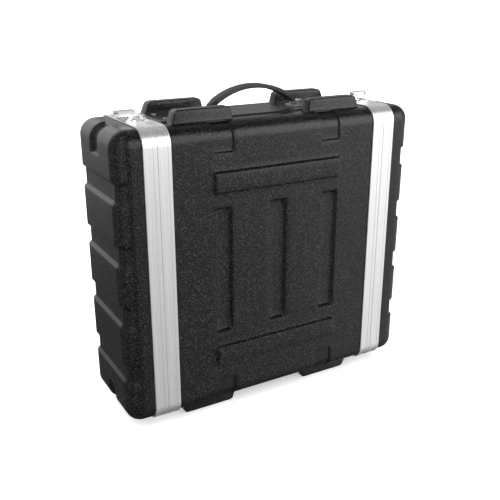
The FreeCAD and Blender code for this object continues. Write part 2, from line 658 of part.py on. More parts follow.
def handle_bracket(side):
    """Sheet metal base plate with a bridge whose legs carry the handle pin."""
    plate = box(BRACKET_X[0], BRACKET_X[1], -BRACKET_HALF_WIDTH, BRACKET_HALF_WIDTH,
                DECK_Z, DECK_Z + BRACKET_SHEET)
    plate = plate.makeFillet(BRACKET_CORNER_RADIUS, upright_edges(plate))
    bridge = box(BRIDGE_X[0], BRIDGE_X[1], -BRIDGE_HALF_WIDTH, BRIDGE_HALF_WIDTH,
                 DECK_Z, DECK_Z + BRIDGE_TOP)
    top_edges = [edge for edge in edges_at_height(bridge, DECK_Z + BRIDGE_TOP)
                 if abs(edge.CenterOfMass.y) < NEAR]
    bridge = bridge.makeFillet(BRIDGE_RADIUS, top_edges)
    inside = box(BRIDGE_X[0] + BRACKET_SHEET, BRIDGE_X[1] - BRACKET_SHEET, -FAR, FAR,
                 DECK_Z + BRACKET_SHEET, DECK_Z + BRIDGE_TOP - BRACKET_SHEET)
    bracket = fuse_all([plate, bridge.cut(inside)])
    bracket = bracket.cut(cylinder(HANDLE_PIN_RADIUS + RUNNING_GAP, V(0, 0, HANDLE_PIVOT_Z),
                                   V(FAR, 0, HANDLE_PIVOT_Z)))
    for x, y in bracket_screw_places():
        if x > 0:
            bracket = bracket.cut(cylinder(SCREW_HOLE_RADIUS, V(x, y, 0), V(x, y, 2 * FAR)))
    return bracket if side > 0 else bracket.mirror(V(0, 0, 0), V(1, 0, 0))


def bracket_screws():
    return [pan_screw(x, y, DECK_Z + BRACKET_SHEET, BRACKET_SCREW_LENGTH) for x, y in bracket_screw_places()]


def arch_band(half_width, thickness_mid, thickness_end, half_x):
    """Arched strap of constant width, thicker towards its ends."""
    def arch_point(radius_offset, x):
        z = ARCH_CENTRE_Z + math.sqrt(ARCH_RADIUS ** 2 - x ** 2)
        direction = V(x, 0, z - ARCH_CENTRE_Z).normalize()
        return V(x, -half_width, z) + direction * radius_offset
    top = [arch_point(t, x) for x, t in ((-half_x, thickness_end / 2), (0, thickness_mid / 2),
                                         (half_x, thickness_end / 2))]
    low = [arch_point(-t, x) for x, t in ((half_x, thickness_end / 2), (0, thickness_mid / 2),
                                          (-half_x, thickness_end / 2))]
    edges = [Part.Arc(*top).toShape(), Part.makeLine(top[2], low[0]), Part.Arc(*low).toShape(),
             Part.makeLine(low[2], top[0])]
    return Part.Face(Part.Wire(edges)).extrude(V(0, 2 * half_width, 0))


def handle_core():
    """Spring steel strip in the grip, rolled round the pins at both ends."""
    strip = arch_band(HANDLE_CORE_HALF_WIDTH, HANDLE_CORE_THICKNESS, HANDLE_CORE_THICKNESS,
                      HANDLE_PIVOT_X - HANDLE_CORE_SETBACK)
    boss_start, boss_end = HANDLE_PIVOT_X - HANDLE_BOSS_LENGTH, HANDLE_PIVOT_X + BURIED
    bosses = [cylinder(HANDLE_BOSS_RADIUS, V(side * boss_start, 0, HANDLE_PIVOT_Z),
                       V(side * boss_end, 0, HANDLE_PIVOT_Z)) for side in (1, -1)]
    core = fuse_all([strip] + bosses)
    return core.cut(cylinder(HANDLE_PIN_RADIUS, V(-FAR, 0, HANDLE_PIVOT_Z), V(FAR, 0, HANDLE_PIVOT_Z)))


def handle_grip():
    """Soft grip moulded over the strip, narrower and cut level at its ends."""
    half_width = HANDLE_GRIP_OUTLINE[-1][1]
    band = arch_band(half_width, HANDLE_MID_THICKNESS, HANDLE_END_THICKNESS, HANDLE_GRIP_HALF_X)
    near = [V(-x, -half, 0) for x, half in HANDLE_GRIP_OUTLINE]
    near += [V(x, -half, 0) for x, half in reversed(HANDLE_GRIP_OUTLINE)]
    far = [V(point.x, -point.y, 0) for point in reversed(near)]
    grip = band.common(prism(near + far, V(0, 0, 2 * FAR)))
    long_edges = [edge for edge in grip.Edges if edge.Length > 3 * half_width]
    grip = grip.makeFillet(HANDLE_EDGE_RADIUS, long_edges)
    boss_room = HANDLE_BOSS_RADIUS + JOINT_GAP
    keep_out = [cylinder(boss_room, V(-FAR, 0, HANDLE_PIVOT_Z), V(FAR, 0, HANDLE_PIVOT_Z)),
                box(-FAR, FAR, -FAR, FAR, 0, HANDLE_PIVOT_Z + HANDLE_NOSE_LIFT)]
    return grip.cut(handle_core()).cut(keep_out)


def handle_pins():
    """Pins fixed in the strip's ends, with peened heads outside the bridge."""
    start = HANDLE_PIVOT_X - HANDLE_BOSS_LENGTH
    head_start = BRIDGE_X[1] + HANDLE_PIN_HEAD_GAP
    head_end = head_start + HANDLE_PIN_HEAD_LENGTH
    pins = []
    for side in (1, -1):
        shank = cylinder(HANDLE_PIN_RADIUS, V(side * start, 0, HANDLE_PIVOT_Z),
                         V(side * (head_end - BURIED), 0, HANDLE_PIVOT_Z))
        head = cylinder(HANDLE_PIN_RADIUS + HANDLE_PIN_HEAD, V(side * head_start, 0, HANDLE_PIVOT_Z),
                        V(side * head_end, 0, HANDLE_PIVOT_Z))
        pins.append(fuse_all([shank, head]))
    return pins


# ---- latches ------------------------------------------------------------------------------
def latch_point(u, w, y):
    """Place of a latch point on the +X, top latch."""
    return V(PARTING_X + u, y, TOP_Z + w)


def latch_prism(points, y0, y1):
    return prism([latch_point(u, w, y0) for u, w in points], V(0, y1 - y0, 0))


def latch_rod(radius, at, y0, y1):
    return cylinder(radius, latch_point(at[0], at[1], y0), latch_point(at[0], at[1], y1))


def rivet_row(u_places, seat_w):
    """Dome rivets with their shanks in the band."""
    rivets = []
    for u in u_places:
        for y in (-RIVET_Y, RIVET_Y):
            head = cylinder(RIVET_HEAD_RADIUS, latch_point(u, seat_w, y),
                            latch_point(u, seat_w + RIVET_HEAD_HEIGHT, y))
            rim = edges_at_height(head, TOP_Z + seat_w + RIVET_HEAD_HEIGHT)
            head = head.makeFillet(RIVET_HEAD_HEIGHT - BURIED, rim)
            shank = cylinder(RIVET_RADIUS, latch_point(u, 0.0, y), latch_point(u, seat_w + BURIED, y))
            rivets.append(fuse_all([head, shank]))
    return rivets


def latch_base():
    """Plate on the cover's band with two ears for the lever pin."""
    u0, u1 = LATCH_BASE_U
    sheet = LATCH_PLATE_SHEET
    plate = latch_prism([(u0, 0), (u1, 0), (u1, sheet), (u0, sheet)],
                        -LATCH_PLATE_HALF_WIDTH, LATCH_PLATE_HALF_WIDTH)
    plate = plate.makeFillet(LATCH_CORNER_RADIUS, upright_edges(plate))
    u, w = LEVER_PIVOT
    head = 2 * LATCH_PIN_RADIUS
    ear_outline = [(EAR_FOOT_U[0], BURIED), (EAR_FOOT_U[1], BURIED), (u + head, w + EPS),
                   (u + head / 2, w + head), (u - head / 2, w + head), (u - head, w + EPS)]
    ears = [latch_prism(ear_outline, EAR_HALF_WIDTH - EAR_SHEET, EAR_HALF_WIDTH),
            latch_prism(ear_outline, -EAR_HALF_WIDTH, -EAR_HALF_WIDTH + EAR_SHEET)]
    base = fuse_all([plate] + ears)
    base = base.cut(latch_rod(LATCH_PIN_RADIUS, LEVER_PIVOT, -FAR, FAR))
    for u_rivet in BASE_RIVETS_U:
        for y in (-RIVET_Y, RIVET_Y):
            base = base.cut(cylinder(RIVET_RADIUS, latch_point(u_rivet, -sheet, y),
                                     latch_point(u_rivet, 2 * sheet, y)))
    return base


def lever_pin():
    """Pin through the base's ears, with small heads outside the lever's cheeks."""
    head_in = LEVER_HALF_WIDTH + PLAY
    head_out = head_in + PIN_HEAD_LENGTH
    heads = [latch_rod(LATCH_PIN_RADIUS + PIN_HEAD_STEP, LEVER_PIVOT, sign * head_in, sign * head_out)
             for sign in (1, -1)]
    return fuse_all([latch_rod(LATCH_PIN_RADIUS, LEVER_PIVOT, -head_in - PLAY, head_in + PLAY)] + heads)


def latch_lever():
    """Folded sheet lever: a top plate with a finger curl, and two cheeks with pin holes."""
    u0, u1 = LEVER_U
    top, under = LEVER_TOP_W, LEVER_TOP_W - LEVER_SHEET
    curl_w, curl_u = top - LEVER_CURL_DROP, u1 + LEVER_CURL_REACH
    sheet = LEVER_SHEET
    plate = latch_prism([(u0, under), (u0 + sheet, top), (u1, top), (curl_u - sheet / 2, top - sheet),
                         (curl_u, curl_w), (curl_u - sheet, curl_w),
                         (curl_u - 1.5 * sheet, curl_w + sheet / 2), (u1 - EPS, under)],
                        -LEVER_HALF_WIDTH, LEVER_HALF_WIDTH)
    pu, pw = LEVER_PIVOT
    cu, cw = CLAW_PIVOT
    low = CHEEK_BELOW_PIN
    cheek_outline = [(u0 + EPS, under + BURIED), (u0 + sheet, pw - sheet / 2), (pu - sheet, pw - low),
                     (pu + sheet, pw - low), (cu - sheet, cw - low), (cu + sheet, cw - low),
                     (cu + 2.5 * sheet, cw), (cu + 2.5 * sheet, under + BURIED)]
    inner = LEVER_HALF_WIDTH - LEVER_SHEET + BURIED
    cheeks = [latch_prism(cheek_outline, inner, LEVER_HALF_WIDTH),
              latch_prism(cheek_outline, -LEVER_HALF_WIDTH, -inner)]
    lever = fuse_all([plate] + cheeks)
    lever = lever.cut(latch_rod(LATCH_PIN_RADIUS + RUNNING_GAP, LEVER_PIVOT, -FAR, FAR))
    return lever.cut(latch_rod(LATCH_PIN_RADIUS, CLAW_PIVOT, -FAR, FAR))


def claw_pin():
    """Pin that carries the claw, fixed in the lever's cheeks."""
    outer = CLAW_ARM_Y[1] + PLAY
    heads = [latch_rod(LATCH_PIN_RADIUS + CLAW_HEAD_STEP, CLAW_PIVOT, sign * outer,
                       sign * (outer + CLAW_HEAD_LENGTH)) for sign in (1, -1)]
    return fuse_all([latch_rod(LATCH_PIN_RADIUS, CLAW_PIVOT, -outer - PLAY, outer + PLAY)] + heads)


def latch_claw():
    """Two arms with eyes on the claw pin, joined by a plate whose tip hooks behind the catch."""
    cu, cw = CLAW_PIVOT
    low, high = CLAW_PLATE_W
    bend_u, straight_u = CLAW_BEND_U
    rise = high - low
    arm_outline = [(cu, cw - CLAW_EYE_RADIUS + BURIED), (cu, cw + 1.5 * rise), (straight_u, high + rise),
                   (bend_u, high + rise / 2), (CLAW_TIP_U, high), (CLAW_TIP_U, low), (straight_u, low)]
    arms = []
    for sign in (1, -1):
        y0, y1 = sorted((sign * CLAW_ARM_Y[0], sign * CLAW_ARM_Y[1]))
        arms.append(latch_prism(arm_outline, y0, y1))
        arms.append(latch_rod(CLAW_EYE_RADIUS, CLAW_PIVOT, y0, y1))
    wide = CLAW_ARM_Y[1]
    start, hook_u = CLAW_PLATE_START_U, CLAW_TIP_U + CLAW_HOOK_SHEET
    bridge = latch_prism([(start, low), (start, high), (CLAW_TIP_U + rise / 2, high),
                          (CLAW_TIP_U, high - rise / 2), (CLAW_TIP_U, CLAW_HOOK_W), (hook_u, CLAW_HOOK_W),
                          (hook_u, low)], -wide, wide)
    claw = fuse_all(arms + [bridge])
    return claw.cut(latch_rod(LATCH_PIN_RADIUS + RUNNING_GAP, CLAW_PIVOT, -FAR, FAR))


def catch_plate():
    """Plate on the body's band with an upturned lip for the claw."""
    u0, u1 = CATCH_PLATE_U
    sheet = LATCH_PLATE_SHEET
    plate = latch_prism([(u0, 0), (u1, 0), (u1, sheet), (u0, sheet)],
                        -LATCH_PLATE_HALF_WIDTH, LATCH_PLATE_HALF_WIDTH)
    plate = plate.makeFillet(LATCH_CORNER_RADIUS, upright_edges(plate))
    lip_low, lip_high = CATCH_LIP_U
    lip_half = CLAW_ARM_Y[0] - CATCH_LIP_SIDE_GAP
    lip = latch_prism([(lip_low, BURIED), (lip_high, BURIED), (lip_high, CATCH_LIP_TOP_W - EPS),
                       (lip_high - EPS, CATCH_LIP_TOP_W), (lip_low, CATCH_LIP_TOP_W)], -lip_half, lip_half)
    catch = fuse_all([plate, lip])
    for y in (-RIVET_Y, RIVET_Y):
        u = CATCH_RIVETS_U[0]
        catch = catch.cut(cylinder(RIVET_RADIUS, latch_point(u, -sheet, y), latch_point(u, 2 * sheet, y)))
    return catch


# ---- writing ------------------------------------------------------------------------------
def to_front(shape):
    return shape.mirror(V(0, 0, 0), V(1, 0, 0))


def write(name, shapes):
    """One STEP file for one node; a list is a group of separate solids."""
    if isinstance(shapes, list):
        shape = Part.makeCompound(shapes)
    else:
        shape = shapes
    solids = shape.Solids
    valid = all(solid.isValid() for solid in solids)
    volume = sum(solid.Volume for solid in solids)
    if len(solids) == 1:
        shape = solids[0]
    shape.exportStep("parts/" + name + ".step")
    print(f"{name:28s} solids {len(solids):3d} valid {valid} volume {volume / 1000:9.2f} cm3")


def main():
    os.makedirs("parts", exist_ok=True)
    write("body_shell", body_shell())
    write("handle_core", handle_core())
    write("handle_grip", handle_grip())
    write("handle_pins", handle_pins())
    write("bracket_screws", bracket_screws())
    write("rail_screws", rail_screws())
    write("rail_nuts", rail_nuts())
    cover = cover_shell()
    rivets = rivet_row(BASE_RIVETS_U, LATCH_PLATE_SHEET)
    catch_rivets = rivet_row(CATCH_RIVETS_U, LATCH_PLATE_SHEET)
    all_catch_rivets = []
    for end, side in (("rear", 1), ("front", -1)):
        def place(shape, flip_front=(side < 0)):
            return to_front(shape) if flip_front else shape
        write(end + "_body_frame", body_frame(side))
        write(end + "_cover_frame", cover_frame(side))
        write(end + "_seal", seal(side))
        write(end + "_cover_shell", place(cover))
        write(end + "_rail_top", rack_rail(side))
        write(end + "_rail_bottom", mirrored_z(rack_rail(side)))
        write(end + "_handle_bracket", handle_bracket(side))
        here = [place(rivet) for rivet in rivets]
        write(end + "_latch_rivets", here + [mirrored_z(rivet) for rivet in here])
        pin = place(lever_pin())
        write(end + "_lever_pins", [pin, mirrored_z(pin)])
        here = [place(rivet) for rivet in catch_rivets]
        all_catch_rivets += here + [mirrored_z(rivet) for rivet in here]
        for name, maker in (("latch_base", latch_base), ("latch_lever", latch_lever),
                            ("claw_pin", claw_pin), ("latch_claw", latch_claw),
                            ("catch_plate", catch_plate)):
            piece = place(maker())
            write(f"{end}_{name}_top", piece)
            write(f"{end}_{name}_bottom", mirrored_z(piece))
    write("catch_rivets", all_catch_rivets)


main()
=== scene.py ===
# Visual model of an equipment rack case, built round the nodes of its CAD frame.
import json
import math

import bpy
import numpy as np
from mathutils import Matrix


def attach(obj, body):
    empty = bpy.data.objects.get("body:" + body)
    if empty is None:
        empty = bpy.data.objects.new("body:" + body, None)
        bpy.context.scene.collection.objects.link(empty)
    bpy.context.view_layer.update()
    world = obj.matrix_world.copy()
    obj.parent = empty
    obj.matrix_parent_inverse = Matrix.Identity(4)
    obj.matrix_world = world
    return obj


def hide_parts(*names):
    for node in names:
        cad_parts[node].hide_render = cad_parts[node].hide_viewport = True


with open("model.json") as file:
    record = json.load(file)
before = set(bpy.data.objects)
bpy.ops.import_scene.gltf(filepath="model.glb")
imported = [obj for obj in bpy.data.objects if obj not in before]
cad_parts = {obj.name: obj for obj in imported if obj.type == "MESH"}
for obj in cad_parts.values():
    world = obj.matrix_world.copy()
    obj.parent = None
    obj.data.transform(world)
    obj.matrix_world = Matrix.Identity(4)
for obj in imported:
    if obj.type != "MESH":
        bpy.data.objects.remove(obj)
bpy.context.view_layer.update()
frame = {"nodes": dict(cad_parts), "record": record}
nodes = frame["nodes"]

MM = 0.001                # metres

# ---- dimensions, in millimetres, as in the CAD source --------------------------------------
BAND_HALF_Y = 101.0
BAND_HALF_Z = 271.1
BAND_RADIUS = 32.0
CENTRE_Z = 291.1
TOP_Z = 562.2
CORNER_Y = BAND_HALF_Y - BAND_RADIUS      # centres of the outline's corner arcs
CORNER_Z = BAND_HALF_Z - BAND_RADIUS
WALL = 3.0
BODY_INSET = 2.5
COVER_INSET = 3.0
BODY_END_X = 227.0
COVER_START_X = 242.0
COVER_END_X = 308.0
FOOT_HEIGHT = 20.0

BAR_HALF_LENGTH = 134.0
BAR_HEIGHT = 40.5
BAR_RAISE = 5.5
BAR_CENTRE_DZ = 166.3
SLOT_WIDTH = 36.4
SLOT_HEIGHT = 241.5
SLOT_DEPTH = 6.8
SLOT_WALL = 2.4
SLOT_PITCH = 114.4
POCKET_WIDTH = 40.6
POCKET_CENTRE_X = 112.3
POCKET_DEPTH = 3.5
POCKET_EDGE_DZ = 217.0
POCKET_PAST_BLOCK = 0.2             # how far a pocket runs on behind the block's front
POCKET_CLOSE_REACH = 1.6            # and how far and how steeply it closes there
POCKET_CLOSE_SLOPE = 1.3
BLOCK_FRONT_Y = 71.0
BLOCK_BACK_Y = 45.0
BLOCK_BASE_X = (79.0, 195.0)
BLOCK_TIP_X = (83.7, 187.0)
BLOCK_FRONT_DRAFT = 2.6
BLOCK_BACK_DRAFT = 1.0
BLOCK_CORNER_RADIUS = 2.2
BLOCK_TOP_ROUND = (6.0, 2.0)        # along X and along Y
BLOCK_FLARE = ((1.5, -2.9), (1.5, 0.0), (0.75, 0.3), (0.25, 0.9), (0.0, 1.8))   # growth and height
PLATEAU_HALF_Y = 49.0
PLATEAU_HALF_X = 204.0
PLATEAU_RAISE = 2.4
PLATEAU_FOOT = 0.8                  # how far its wall starts outside its edge
PLATEAU_STEEPNESS = 1.5
PLATEAU_SOFT = 0.8

COVER_BAND_DZ = (-166.1, -55.4, 55.4, 166.1)
COVER_BAND_HALF = 20.0
COVER_BAND_DEPTH = 6.0
COVER_BAND_SIDE_DEPTH = 3.0
COVER_BAND_START_X = 285.5
COVER_BAND_DEEPENING = 1.5          # power of the turn by which a band gets deeper round the edge
COVER_SLOT_HALF = 19.5
COVER_SLOT_DEPTH = 6.0
COVER_SLOT_REACH = 50.0
COVER_SLOT_START_X = 278.0

SOFT = 0.75               # half width of the rounding along every moulded edge
CRISP = 0.45              # the same along the side walls of bars, slots and pockets
LEAN = math.tan(math.radians(35))   # sideways run of those walls per depth


# ---- fineness of the meshes ----------------------------------------------------------------
BODY_CORNER_STEPS = 26
COVER_CORNER_STEPS = 14
BAND_CORNER_STEPS = 22
SHELL_STEP = 12.0
COVER_SIDE_STEP = 8.0
COVER_BEND_STEP = 2.6
BAND_STEP = 40.0
PLATEAU_LINES = (0.6, 0.2, -0.2, -0.6, -1.0, -1.4, -1.8, -2.2)   # across its wall
COVER_BAND_LINES = (2.25, 2.75, 3.25, 3.75)                      # where a band's side wall ends
BLOCK_TOP_STEPS = 9
BLOCK_CORNER_STEPS = 5
GRIP_CORNER_STEPS = 7
LEAST_GAP = 0.12                    # closer grid lines are left out
EDGE_GAP = 0.2                      # and so are lines this near to an end


# ---- numbers along grids -------------------------------------------------------------------
def ramp(t, height, soft=SOFT, lean=1.0):
    """0 outside, rises from t = 0 by 1 / lean, height inside, with rounded ends."""
    def bend(v):
        return np.where(v < -soft, 0.0, np.where(v > soft, v, (v + soft) ** 2 / (4 * soft)))
    return bend(t / lean) - bend(t / lean - height)


def smooth_min(a, b, soft=1.6):
    """The smaller of the two, with a rounded change from one to the other."""
    h = np.maximum(soft - np.abs(a - b), 0.0) / soft
    return np.minimum(a, b) - h * h * soft / 4


def wall_lines(start, direction, height, soft=SOFT, lean=1.0):
    """Grid lines that follow one leaning wall, close together at its two rounded ends."""
    steps = (-soft, -soft / 3, soft / 3, soft, height / 2,
             height - soft, height - soft / 3, height + soft / 3, height + soft)
    return [start + direction * lean * step for step in steps]


def face_ramp(t, height):
    return ramp(t, height, CRISP, LEAN)


def face_wall(start, direction, height):
    return wall_lines(start, direction, height, CRISP, LEAN)


def grid_lines(low, high, wanted, step):
    """Sorted lines from low to high through all wanted ones, no further apart than step."""
    inside = sorted(v for v in wanted if low + EDGE_GAP < v < high - EDGE_GAP)
    kept = [low]
    for v in inside:
        if v - kept[-1] > LEAST_GAP:
            kept.append(v)
    kept.append(high)
    out = [low]
    for a, b in zip(kept, kept[1:]):
        count = max(1, math.ceil((b - a) / step - 1e-9))
        out += [a + (b - a) * (k + 1) / count for k in range(count)]
    return np.array(out)


# ---- meshes --------------------------------------------------------------------------------
def make_piece(name, points, faces, material, body, replaces=(), uv=None):
    """A mesh object from points in millimetres, riding on a CAD body."""
    mesh = bpy.data.meshes.new(name)
    mesh.from_pydata((np.asarray(points, float) * MM).tolist(), [], faces)
    mesh.validate()
    mesh.polygons.foreach_set("use_smooth", [True] * len(mesh.polygons))
    if uv is not None:
        layer = mesh.uv_layers.new(name="along")
        loops = np.zeros(len(mesh.loops), int)
        mesh.loops.foreach_get("vertex_index", loops)
        layer.data.foreach_set("uv", np.asarray(uv, float)[loops].ravel())
    mesh.materials.append(material)
    piece = bpy.data.objects.new(name, mesh)
    bpy.context.scene.collection.objects.link(piece)
    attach(piece, body)
    if replaces:
        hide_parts(*replaces)
    return piece


class Builder:
    """Collects points and faces of one mesh."""

    def __init__(self):
        self.points = []
        self.faces = []
        self.count = 0

    def add(self, points):
        start = self.count
        self.points.append(np.asarray(points, float).reshape(-1, 3))
        self.count += len(self.points[-1])
        return start

    def sheet(self, grid, flip=False, wrap=False):
        """Quads over a grid of points (rows, columns, 3)."""
        rows, cols = grid.shape[:2]
        start = self.add(grid.reshape(-1, 3))
        last = cols if wrap else cols - 1
        for r in range(rows - 1):
            for c in range(last):
                a = start + r * cols + c
                b = start + r * cols + (c + 1) % cols
                quad = (a, b, b + cols, a + cols)
                self.faces.append(quad[::-1] if flip else quad)
        return start

    def bridge(self, first, second, flip=False):
        """Quads between two closed loops of point numbers."""
        n = len(first)
        for k in range(n):
            quad = (first[k], first[(k + 1) % n], second[(k + 1) % n], second[k])
            self.faces.append(quad[::-1] if flip else quad)

    def done(self):
        return np.concatenate(self.points), self.faces


def outline(z_lines, y_lines, corner_steps):
    """Samples round the case: arc centres (y, z), outward normals, side letters and places.

    Starts at the bottom of the near side, goes up, over the top, down the far side and back below.
    The letter is Y or Z on the flat sides and C in the corners, where the place is the turn so far."""
    turns = [math.pi / 2 * (k + 1) / (corner_steps + 1) for k in range(corner_steps)]
    rows = []
    for z in z_lines:
        rows.append((-CORNER_Y, z, -1.0, 0.0, "Y", z))
    for t in turns:
        rows.append((-CORNER_Y, CORNER_Z, -math.cos(t), math.sin(t), "C", t))
    for y in y_lines:
        rows.append((y, CORNER_Z, 0.0, 1.0, "Z", y))
    for t in reversed(turns):
        rows.append((CORNER_Y, CORNER_Z, math.cos(t), math.sin(t), "C", t))
    for z in z_lines[::-1]:
        rows.append((CORNER_Y, z, 1.0, 0.0, "Y", z))
    for t in turns:
        rows.append((CORNER_Y, -CORNER_Z, math.cos(t), -math.sin(t), "C", t))
    for y in y_lines[::-1]:
        rows.append((y, -CORNER_Z, 0.0, -1.0, "Z", y))
    for t in reversed(turns):
        rows.append((-CORNER_Y, -CORNER_Z, -math.cos(t), -math.sin(t), "C", t))
    centre = np.array([r[:2] for r in rows])
    normal = np.array([r[2:4] for r in rows])
    kind = np.array([r[4] for r in rows])
    place = np.array([r[5] for r in rows], float)
    return centre, normal, kind, place


# ---- body shell ----------------------------------------------------------------------------
BODY_RADIUS = BAND_RADIUS - BODY_INSET
POCKET_END_Y = BLOCK_FRONT_Y - POCKET_PAST_BLOCK
POCKET_END = CORNER_Z + BODY_RADIUS * (math.pi / 2 - math.asin((POCKET_END_Y - CORNER_Y) / BODY_RADIUS))


def big_face_relief(x, v):
    """Height over a big face; v is the distance from the middle, measured on over the rounded edge."""
    a = np.abs(v)
    height = np.zeros(np.broadcast(x, v).shape)
    bar = smooth_min(BAR_HALF_LENGTH - np.abs(x), BAR_HEIGHT / 2 - np.abs(a - BAR_CENTRE_DZ))
    height += face_ramp(bar, BAR_RAISE)
    for number in (-1, 0, 1):
        slot = smooth_min(SLOT_WIDTH / 2 - np.abs(x - number * SLOT_PITCH), SLOT_HEIGHT / 2 - a)
        height -= face_ramp(slot, SLOT_DEPTH)
    pocket = smooth_min(POCKET_WIDTH / 2 - np.abs(np.abs(x) - POCKET_CENTRE_X), a - POCKET_EDGE_DZ)
    closing = (POCKET_END + POCKET_CLOSE_REACH - a) * POCKET_CLOSE_SLOPE
    height -= face_ramp(np.minimum(pocket, closing), POCKET_DEPTH)
    return height


def deck_relief(x, y):
    """Height over the top or the bottom: the low plateau, with steeper walls than the big faces."""
    edge = smooth_min(PLATEAU_HALF_X + PLATEAU_FOOT - np.abs(x), PLATEAU_HALF_Y + PLATEAU_FOOT - np.abs(y))
    return ramp(PLATEAU_STEEPNESS * edge, PLATEAU_RAISE, PLATEAU_SOFT)


def body_lines():
    """Grid lines of the body: along X, up its big faces and across its top."""
    x_wanted, z_wanted, y_wanted = [], [], []
    for sign in (-1, 1):
        x_wanted += face_wall(sign * BAR_HALF_LENGTH, -sign, BAR_RAISE)
        x_wanted += [sign * (PLATEAU_HALF_X + PLATEAU_FOOT + d) for d in PLATEAU_LINES]
        y_wanted += [sign * (PLATEAU_HALF_Y + PLATEAU_FOOT + d) for d in PLATEAU_LINES]
        z_wanted += face_wall(sign * SLOT_HEIGHT / 2, -sign, SLOT_DEPTH)
        z_wanted += face_wall(sign * POCKET_EDGE_DZ, sign, POCKET_DEPTH)
        for side in (-1, 1):
            pocket_edge = sign * POCKET_CENTRE_X + side * POCKET_WIDTH / 2
            bar_edge = sign * BAR_CENTRE_DZ + side * BAR_HEIGHT / 2
            x_wanted += face_wall(pocket_edge, -side, POCKET_DEPTH)
            z_wanted += face_wall(bar_edge, -side, BAR_RAISE)
    for number in (-1, 0, 1):
        for side in (-1, 1):
            x_wanted += face_wall(number * SLOT_PITCH + side * SLOT_WIDTH / 2, -side, SLOT_DEPTH)
    x = grid_lines(-BODY_END_X, BODY_END_X, x_wanted, SHELL_STEP)
    z = grid_lines(-CORNER_Z, CORNER_Z, z_wanted, SHELL_STEP)
    y = grid_lines(-CORNER_Y, CORNER_Y, y_wanted, SHELL_STEP)
    return x, z, y


def body_skin(build):
    """Moulded tube: outer skin, inner skin and the two end rims."""
    x, z, y = body_lines()
    centre, normal, kind, place = outline(z, y, BODY_CORNER_STEPS)
    v = np.where(kind == "Y", place, np.where(kind == "C", CORNER_Z + BODY_RADIUS * place, 0.0))
    height = np.where((kind == "Z")[None, :], deck_relief(x[:, None], place[None, :]),
                      big_face_relief(x[:, None], v[None, :]))
    loops = []
    for depth, flip in ((0.0, False), (WALL, True)):
        thinner = (WALL - SLOT_WALL) * np.clip(-height / SLOT_DEPTH, 0.0, 1.0) if depth else 0.0
        reach = BODY_RADIUS + height - depth + thinner
        grid = np.empty(reach.shape + (3,))
        grid[..., 0] = x[:, None]
        grid[..., 1] = centre[None, :, 0] + normal[None, :, 0] * reach
        grid[..., 2] = CENTRE_Z + centre[None, :, 1] + normal[None, :, 1] * reach
        start = build.sheet(grid, flip=flip, wrap=True)
        count = len(v)
        last = start + (len(x) - 1) * count
        loops.append((list(range(start, start + count)), list(range(last, last + count))))
    build.bridge(loops[0][0], loops[1][0], flip=True)
    build.bridge(loops[0][1], loops[1][1], flip=False)


def block_loops(base_z, tip_z):
    """Outline loops of one drafted stacking block, from its foot to its rounded top."""
    round_x, round_y = BLOCK_TOP_ROUND
    levels = [(h, grow, 0.0, 0.0) for grow, h in BLOCK_FLARE]
    flare_top = BLOCK_FLARE[-1][1]
    straight = (tip_z - base_z) - round_x
    levels += [(flare_top + (straight - flare_top) * k / 3, 0.0, 0.0, 0.0) for k in (1, 2, 3)]
    for k in range(1, BLOCK_TOP_STEPS + 1):
        angle = math.pi / 2 * k / BLOCK_TOP_STEPS
        levels.append((straight + round_x * math.sin(angle), 0.0,
                       round_x * (1 - math.cos(angle)), round_y * (1 - math.cos(angle))))
    full = tip_z - base_z
    loops = []
    for h, grow, shrink_x, shrink_y in levels:
        share = max(h, 0.0) / full
        x0 = BLOCK_BASE_X[0] + (BLOCK_TIP_X[0] - BLOCK_BASE_X[0]) * share - grow + shrink_x
        x1 = BLOCK_BASE_X[1] + (BLOCK_TIP_X[1] - BLOCK_BASE_X[1]) * share + grow - shrink_x
        y0 = -BLOCK_FRONT_Y + BLOCK_FRONT_DRAFT * share - grow + shrink_y
        y1 = -BLOCK_BACK_Y - BLOCK_BACK_DRAFT * share + grow - shrink_y
        radius = BLOCK_CORNER_RADIUS + grow
        loop = []
        for cx, cy, start in ((x1 - radius, y1 - radius, 0), (x0 + radius, y1 - radius, 90),
                              (x0 + radius, y0 + radius, 180), (x1 - radius, y0 + radius, 270)):
            for k in range(BLOCK_CORNER_STEPS + 1):
                turn = math.radians(start + 90 / BLOCK_CORNER_STEPS * k)
                loop.append((cx + radius * math.cos(turn), cy + radius * math.sin(turn), base_z + h))
        loops.append(loop)
    return np.array(loops)


def blocks(build):
    """The eight stacking blocks: one, mirrored three ways."""
    loops = block_loops(TOP_Z - BODY_INSET, TOP_Z + FOOT_HEIGHT)
    for sx in (1, -1):
        for sy in (1, -1):
            for sz in (1, -1):
                grid = loops.copy()
                grid[..., 0] *= sx
                grid[..., 1] *= sy
                grid[..., 2] = CENTRE_Z + sz * (grid[..., 2] - CENTRE_Z)
                flip = sx * sy * sz < 0
                start = build.sheet(grid, flip=flip, wrap=True)
                count = grid.shape[1]
                bottom = list(range(start, start + count))
                top = list(range(start + (len(grid) - 1) * count, start + len(grid) * count))
                build.faces.append(tuple(bottom if flip else bottom[::-1]))
                build.faces.append(tuple(top[::-1] if flip else top))


# ---- cover shells --------------------------------------------------------------------------
COVER_RADIUS = BAND_RADIUS - COVER_INSET
COVER_FLAT = COVER_END_X - COVER_RADIUS     # where the rounding into the end face starts
COVER_FLAT_RUN = COVER_FLAT - COVER_START_X
COVER_BAND_TURN = math.asin((COVER_BAND_START_X - COVER_FLAT) / COVER_RADIUS)
COVER_BAND_START = COVER_FLAT_RUN + COVER_RADIUS * COVER_BAND_TURN
SLOT_END_DZ = CORNER_Z + COVER_RADIUS - COVER_SLOT_REACH


